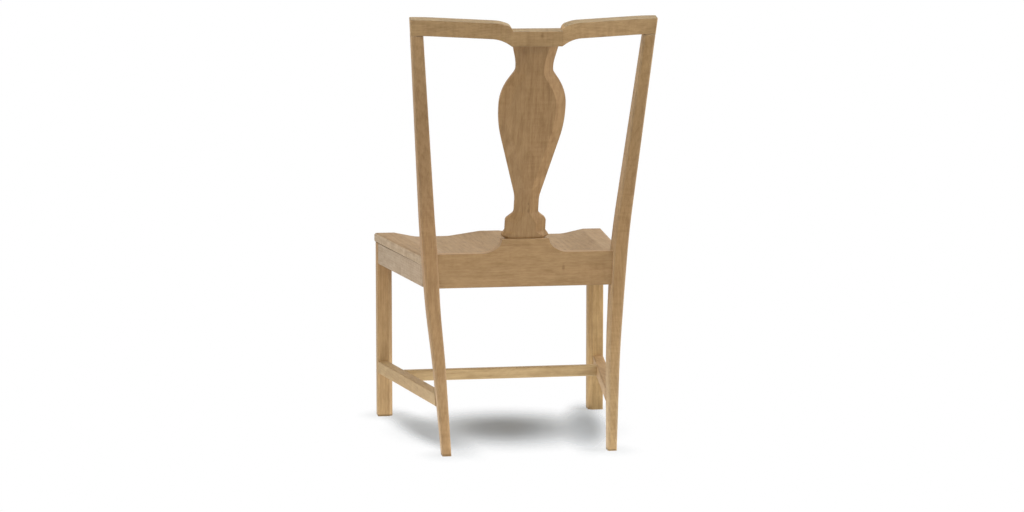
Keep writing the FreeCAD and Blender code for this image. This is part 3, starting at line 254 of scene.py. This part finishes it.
def grain_shade(nodes, place, late, fibre, streak, drift, board):
    """How dark the grain is: rings, streaks, mottle, fibres, flecks, and curl in some places."""
    curl = nodes.math("SUBTRACT", nodes.noise(place, CURL), NOISE_MEAN)
    curl = nodes.math("MULTIPLY", curl, nodes.spread(drift, *CURL_SHOWS))
    shade = nodes.math("MULTIPLY_ADD", late, board.figure, MEAN_SHADE)
    shade = nodes.math("MULTIPLY_ADD", curl, CURL_SHADE, shade)
    shares = [
        (streak, STREAK_SHADE + STREAK_SHADE_BY_FIGURE * board.figure),
        (nodes.noise(place, MOTTLE), MOTTLE_SHADE),
        (fibre, FIBRE_SHADE),
        (nodes.noise(place, FLECK), FLECK_SHADE),
    ]
    for noise, share in shares:
        shade = nodes.math("MULTIPLY_ADD", nodes.math("SUBTRACT", noise, NOISE_MEAN), share, shade)
    return nodes.add("ShaderNodeClamp", {"Value": shade}).outputs[0]


def knotted(nodes, colour, body, ripple, knots):
    """Adds pin knots that run through the board from its back: a dark eye with a soft, ragged rim."""
    for side, height, size in knots:
        offset = nodes.vector("SUBTRACT", body, (side, 0.0, height))
        distance = nodes.vector("LENGTH", nodes.vector("MULTIPLY", offset, KNOT_SQUEEZE))
        distance = nodes.math("MULTIPLY_ADD", ripple, size * KNOT_RAGGED, distance)
        eye = nodes.spread(distance, size * KNOT_EYE, size * KNOT_EDGE, 1.0, 0.0)
        colour = nodes.tinted(colour, KNOT_TINT, eye, KNOT_STRENGTH)
    return colour


def eased_normal(nodes, own, height, ease):
    """The normal of rounded edges. A sawn foot keeps its own, because it stands square on the floor."""
    rounded = nodes.add("ShaderNodeBevel", {"Radius": ease}, samples=EDGE_SAMPLES).outputs[0]
    off_floor = nodes.spread(height, *SQUARE_FOOT)
    return nodes.vector("NORMALIZE", nodes.mix(off_floor, own, rounded, kind="VECTOR"))


def paint_light_and_shade(nodes, colour, own, height, board):
    """Paints light and shade by part of a board: a paler, bluer foot for light from the floor, and on some
    boards a lighter upper end, shade on upward faces, a pale sheen on faces to the left, and the splat's
    shade towards its foot and under the crest.
    """
    facing = nodes.split(own)
    measures = {"height": height, "facing up": facing[2], "facing left": facing[0]}
    painted_light = {"low": PAINTED_FLOOR_LIGHT, **board.painted_light}
    for part, tint in painted_light.items():
        measure, begins, full = PAINTED_LIGHT_PARTS[part]
        colour = nodes.tinted(colour, tint, nodes.spread(measures[measure], begins, full))
    return colour


def wood(name, board):
    """Hardwood with growth rings, fibres, pores, knots, eased, slightly worn edges, and painted light and
    shade.
    """
    material = bpy.data.materials.new(name)
    nodes = Nodes(material)
    body = nodes.place()
    height = nodes.split(body)[2]
    own = nodes.add("ShaderNodeNewGeometry").outputs["Normal"]
    place = grain_space(nodes, board)
    ripple = nodes.noise(place, RIPPLE)
    fibre = nodes.noise(place, FIBRE)
    streak = nodes.noise(place, STREAK)
    drift = nodes.noise(place, DRIFT)
    pores = nodes.spread(nodes.noise(place, PORES), *PORES_SHOW)

    # The colour, from the grain out to worn edges and the painted light and shade.
    late = late_wood(nodes, place, ripple, board)
    shade = grain_shade(nodes, place, late, fibre, streak, drift, board)
    light = [channel * factor for channel, factor in zip(LIGHT_WOOD, board.tone)]
    dark = [channel * factor for channel, factor in zip(DARK_WOOD, board.tone)]
    colour = nodes.mix(shade, light, dark)
    colour = nodes.tinted(colour, WARM_TINT, nodes.spread(drift, *WARM_SHOWS), WARM_STRENGTH)
    colour = nodes.tinted(colour, PORE_TINT, pores, PORE_STRENGTH)
    colour = knotted(nodes, colour, body, ripple, board.knots)
    eased = eased_normal(nodes, own, height, board.ease)
    # Edges lighten where the rounded normal turns away: wear, and a painted highlight where the lightening
    # is raised.
    worn_and_lit_edges = nodes.spread(nodes.vector("DOT_PRODUCT", eased, own), *EDGE_WEAR_AND_HIGHLIGHT_SHOW)
    colour = nodes.mix(nodes.math("MULTIPLY", worn_and_lit_edges, board.wear_and_highlight), colour, WORN_AND_LIT_EDGE)
    colour = paint_light_and_shade(nodes, colour, own, height, board)

    # The surface: streaks and open pores are duller, and fibres and pores stand in a fine relief.
    rough = nodes.math("MULTIPLY_ADD", streak, STREAK_ROUGHNESS, ROUGHNESS)
    rough = nodes.math("MULTIPLY_ADD", pores, PORE_ROUGHNESS, rough)
    relief = nodes.math("MULTIPLY_ADD", fibre, FIBRE_RELIEF, nodes.math("MULTIPLY", pores, PORE_RELIEF))
    bump_inputs = {
        "Height": relief,
        "Strength": RELIEF_STRENGTH,
        "Distance": RELIEF_DEPTH,
        "Normal": eased,
    }
    finish_inputs = {
        "Base Color": colour,
        "Roughness": rough,
        "Normal": nodes.add("ShaderNodeBump", bump_inputs).outputs[0],
        "Specular IOR Level": GLOSS,
    }
    shader = nodes.add("ShaderNodeBsdfPrincipled", finish_inputs)
    nodes.add("ShaderNodeOutputMaterial", {"Surface": shader.outputs[0]})
    return material


# Zinc-plated steel with faint scratches.
DULL_ZINC = (0.50, 0.50, 0.50)
BRIGHT_ZINC = (0.62, 0.61, 0.58)
SCRATCHES = Noise(300.0, 2200.0, detail=3.0)
STEEL_ROUGHNESS = 0.3
SCRATCH_ROUGHNESS = 0.2


def steel(name):
    """Plain plated steel for the hidden screws."""
    material = bpy.data.materials.new(name)
    nodes = Nodes(material)
    scratch = nodes.noise(nodes.place(), SCRATCHES)
    colour = nodes.mix(scratch, DULL_ZINC, BRIGHT_ZINC)
    rough = nodes.math("MULTIPLY_ADD", scratch, SCRATCH_ROUGHNESS, STEEL_ROUGHNESS)
    finish_inputs = {"Base Color": colour, "Roughness": rough, "Metallic": 1.0}
    shader = nodes.add("ShaderNodeBsdfPrincipled", finish_inputs)
    nodes.add("ShaderNodeOutputMaterial", {"Surface": shader.outputs[0]})
    return material


# Wooden pieces by CAD node.
BOARDS = {
    "rear_post_left": Board(
        along="Z",
        shift=(0.31, 0.07, 0.02),
        heart=(0.36, 0.10, 0.03),
        tone=(0.93, 0.92, 0.88),
        ease=0.009,
        # Painted light: the upper post lighter.
        painted_light={"high": (1.20, 1.25, 1.31)},
    ),
    "rear_post_right": Board(
        along="Z",
        shift=(1.71, -0.11, 0.05),
        heart=(-0.38, 0.16, -0.02),
        tone=(1.01, 1.03, 0.98),
        ease=0.009,
        # Edge lightening raised to paint a highlight along its lit edges.
        wear_and_highlight=0.34,
        # Painted light: a paler, bluer foot, a lighter upper end and a pale sheen on its left face.
        painted_light={"low": (1.05, 1.16, 1.28), "high": (1.08, 1.10, 1.10), "left": (1.09, 1.15, 1.27)},
    ),
    "crest_rail": Board(
        along="X",
        shift=(0.63, 0.02, 0.13),
        heart=(0.35, 1.06, 0.02),
        tone=(1.12, 1.21, 1.24),
        figure=0.14,
        knots=((-0.010, 0.960, 0.006),),
        # Painted shade on its upward faces.
        painted_light={"top": (0.67, 0.76, 0.89)},
    ),
    "splat": Board(
        along="Z",
        shift=(2.42, 0.003, 0.06),
        heart=(0.006, 0.19, 0.055),
        tone=(0.98, 0.98, 0.93),
        ring=0.0075,
        lean=0.31,
        figure=0.24,
        ease=0.0009,
        knots=((-0.002, 0.571, 0.003), (-0.003, 0.554, 0.005)),
        # Painted shade: darker towards its foot, and a painted shadow under the crest at its top.
        painted_light={"waist": (0.92, 0.91, 0.88), "high": (0.95, 0.94, 0.93)},
    ),
    "rear_seat_rail": Board(
        along="X",
        shift=(3.13, 0.04, -0.03),
        heart=(0.20, 0.30, 0.03),
        tone=(0.96, 0.99, 0.98),
        figure=0.07,
        knots=((-0.088, 0.420, 0.006),),
    ),
    "side_seat_rail_left": Board(
        along="Y",
        shift=(0.77, 0.05, 0.02),
        heart=(0.30, 0.33, 0.03),
        # The pale, blue-heavy tone paints a sheen on its face.
        tone=(1.06, 1.33, 1.98),
    ),
    "side_seat_rail_right": Board(
        along="Y",
        shift=(1.93, 0.01, 0.03),
        heart=(-0.31, 0.52, -0.02),
        # The pale, blue-heavy tone paints a sheen on its face.
        tone=(1.06, 1.25, 1.60),
    ),
    "front_seat_rail": Board(
        along="X",
        shift=(2.21, -0.05, 0.04),
        heart=(-0.29, 0.52, 0.02),
        tone=(1.00, 1.00, 1.00),
    ),
    "saddle_seat": Board(
        along="Y",
        shift=(1.13, 0.02, 0.01),
        heart=(0.03, 0.32, 0.04),
        # The pale, blue-heavy tone paints a sheen on its edges and other faces; the top tint cancels it on
        # the top and paints shade there.
        tone=(1.14, 1.43, 2.05),
        ring=0.009,
        figure=0.25,
        ease=0.005,
        painted_light={"top": (0.64, 0.54, 0.37)},
    ),
    "front_leg_left": Board(
        along="Z",
        shift=(0.87, 0.02, 0.05),
        heart=(0.35, -0.20, 0.03),
        tone=(1.03, 1.04, 1.00),
        ease=0.004,
        # Painted light from the floor: its foot paler and bluer.
        painted_light={"low": (1.05, 1.13, 1.20)},
    ),
    "front_leg_right": Board(
        along="Z",
        shift=(2.03, 0.04, -0.02),
        heart=(-0.32, -0.24, 0.02),
        tone=(1.30, 1.38, 1.32),
        ease=0.004,
    ),
    "side_stretcher_left": Board(
        along="Y",
        shift=(3.41, 0.03, 0.01),
        heart=(0.33, 0.05, 0.02),
        tone=(1.04, 1.13, 1.15),
    ),
    "side_stretcher_right": Board(
        along="Y",
        shift=(4.17, -0.02, 0.03),
        heart=(-0.30, 0.06, 0.02),
        tone=(1.10, 1.11, 1.06),
    ),
    "cross_stretcher": Board(
        along="X",
        shift=(1.51, 0.01, 0.02),
        heart=(-0.05, 0.20, 0.02),
        # The lighter tone paints light from the floor on it.
        tone=(1.28, 1.44, 1.54),
    ),
}

# Corner blocks are cut alike, each from its own place along the grain: (place, heart across).
CORNER_BLOCKS = {
    "front_left": (5.1, 0.0),
    "front_right": (5.9, 0.1),
    "rear_left": (6.3, 0.0),
    "rear_right": (6.7, 0.1),
}
for corner, (block_place, heart_across) in CORNER_BLOCKS.items():
    BOARDS["corner_block_" + corner] = Board(
        along="X",
        shift=(block_place, 0.0, 0.0),
        heart=(heart_across, 0.3, 0.02),
        tone=(1.08, 1.08, 1.08),
        ring=0.007,
    )


def dress_chair():
    """Gives each CAD piece its material."""
    for node, board in BOARDS.items():
        frame["nodes"][node].material_slots[0].material = wood("wood_" + node, board)
    metal = steel("steel_screws")
    for node in ("corner_block_screws", "seat_screws"):
        frame["nodes"][node].material_slots[0].material = metal


@dataclass(frozen=True)
class PaintedShadowSpot:
    """A soft oval on the floor, with its turn in degrees, in which the grey floor shows, painting the
    shadow.
    """

    middle: tuple
    reach: tuple
    turn: float = 0.0
    strength: float = 1.0


# Floor: a disc just under the feet, of light grey paper that shows only in the spots under the seat, the
# side rails and the feet, where its grey paints the shadow and the lamps' own shadow falls on it.
FLOOR_RADIUS = 3.2
FLOOR_DROP = 0.0005
FLOOR_CORNERS = 96
FLOOR_COLOUR = (0.45, 0.49, 0.525)
SPOT_FULL = 0.15
PAINTED_SHADOW_SPOTS = [
    PaintedShadowSpot((0.0, -0.078), (0.32, 0.335)),
    PaintedShadowSpot((0.19, -0.075), (0.08, 0.42), turn=9.0, strength=0.75),
    PaintedShadowSpot((-0.193, -0.075), (0.075, 0.42), turn=-10.0, strength=0.88),
]
FOOT_REACH = (0.08, 0.10)
FOOT_STRENGTH = 0.2
for foot in frame["record"]["mounts"]:
    PAINTED_SHADOW_SPOTS.append(PaintedShadowSpot(foot["pos_m"][:2], FOOT_REACH, strength=FOOT_STRENGTH))


def painted_shadow_paper(name):
    """Matte paper that shows in the spots, where its grey paints the shadow, and is clear elsewhere, where
    the white backdrop shows.
    """
    material = bpy.data.materials.new(name)
    nodes = Nodes(material)
    place = nodes.place()
    faded = 1.0
    for spot in PAINTED_SHADOW_SPOTS:
        inputs = {
            "Vector": place,
            "Location": (*spot.middle, 0.0),
            "Rotation": (0.0, 0.0, math.radians(spot.turn)),
            "Scale": (*spot.reach, 1.0),
        }
        local = nodes.add("ShaderNodeMapping", inputs, vector_type="TEXTURE").outputs[0]
        # Painted shadow: inside each spot the grey paper shows, as far as the spot's strength.
        painted_shade = nodes.spread(nodes.vector("LENGTH", local), SPOT_FULL, 1.0, spot.strength, 0.0)
        faded = nodes.math("MULTIPLY", faded, nodes.math("SUBTRACT", 1.0, painted_shade))
    factor = nodes.math("MULTIPLY", faded, nodes.seen_directly())
    matte = nodes.add("ShaderNodeBsdfDiffuse", {"Color": FLOOR_COLOUR})
    clear = nodes.add("ShaderNodeBsdfTransparent")
    fade = nodes.add("ShaderNodeMixShader", {0: factor, 1: matte.outputs[0], 2: clear.outputs[0]})
    nodes.add("ShaderNodeOutputMaterial", {"Surface": fade.outputs[0]})
    return material


def lay_floor():
    """Lays the floor under the chair."""
    bpy.ops.mesh.primitive_circle_add(
        vertices=FLOOR_CORNERS,
        radius=FLOOR_RADIUS,
        fill_type="NGON",
        location=(0.0, 0.0, -FLOOR_DROP),
    )
    floor = bpy.context.object
    floor.name = "floor"
    floor.data.materials.append(painted_shadow_paper("paper"))


# White surroundings: plain white where they are seen, and faint where they light the chair.
WHITE = (1.0, 1.0, 1.0)
SEEN_STRENGTH = 1.0
ROOM_LIGHT = 0.02


def white_studio(name):
    """Makes the world round the chair."""
    world = bpy.data.worlds.new(name)
    nodes = Nodes(world)
    room = nodes.add("ShaderNodeBackground", {"Color": WHITE, "Strength": ROOM_LIGHT})
    seen = nodes.add("ShaderNodeBackground", {"Color": WHITE, "Strength": SEEN_STRENGTH})
    inputs = {0: nodes.seen_directly(), 1: room.outputs[0], 2: seen.outputs[0]}
    sky = nodes.add("ShaderNodeMixShader", inputs)
    nodes.add("ShaderNodeOutputWorld", {"Surface": sky.outputs[0]})
    return world


CHAIR_MIDDLE = (0.0, 0.0, 0.45)


@dataclass(frozen=True)
class Lamp:
    """A square soft lamp, in metres and watts."""

    place: tuple
    size: float
    power: float
    target: tuple = CHAIR_MIDDLE
    in_reflections: bool = True


LAMPS = {
    "overhead": Lamp((0.0, 0.9, 3.2), 2.4, 80.0),
    "right_side": Lamp((-4.2, 0.8, 1.5), 2.2, 195.0),
    "left_side": Lamp((4.2, 0.8, 1.5), 2.2, 71.0),
    "behind_low": Lamp((0.3, 6.5, 1.0), 2.0, 63.0),
    "far_left": Lamp((3.6, -2.4, 2.0), 2.2, 30.0),
    "far_right": Lamp((-3.6, -2.4, 2.0), 2.2, 60.0),
    "front_fill": Lamp((-1.4, -4.6, 1.5), 2.2, 42.0, in_reflections=False),
    "floor_bounce": Lamp((0.36, 0.26, 0.004), 1.2, 5.4, target=(0.36, 0.26, 1.0)),
}

# Camera at the photograph's place: behind the chair and a little round to its left side.
SENSOR_WIDTH = 36.0
LENS = 101.37
EYE = (1.1737, 6.6262, 1.2720)
AIM = (-0.00736, -0.0423, 0.42095)


def set_up(name, data, place, target):
    """Puts a lamp or a camera at a place, facing a target, with its top upwards."""
    holder = bpy.data.objects.new(name, data)
    turn = (Vector(target) - Vector(place)).to_track_quat("-Z", "Y")
    holder.matrix_world = Matrix.Translation(place) @ turn.to_matrix().to_4x4()
    scene.collection.objects.link(holder)
    return holder


def hang_lamps():
    """Hangs the lamps, which the camera doesn't see."""
    for name, lamp in LAMPS.items():
        light = bpy.data.lights.new(name, "AREA")
        light.shape = "SQUARE"
        light.size = lamp.size
        light.energy = lamp.power
        holder = set_up(name, light, lamp.place, lamp.target)
        holder.visible_camera = False
        holder.visible_glossy = lamp.in_reflections


def place_camera():
    """Makes the camera and looks through it."""
    camera = bpy.data.cameras.new("camera")
    camera.sensor_width = SENSOR_WIDTH
    camera.sensor_fit = "HORIZONTAL"
    camera.lens = LENS
    scene.camera = set_up("camera", camera, EYE, AIM)


dress_chair()
lay_floor()
scene.world = white_studio("studio")
hang_lamps()
place_camera()
scene.view_settings.view_transform = "Standard"
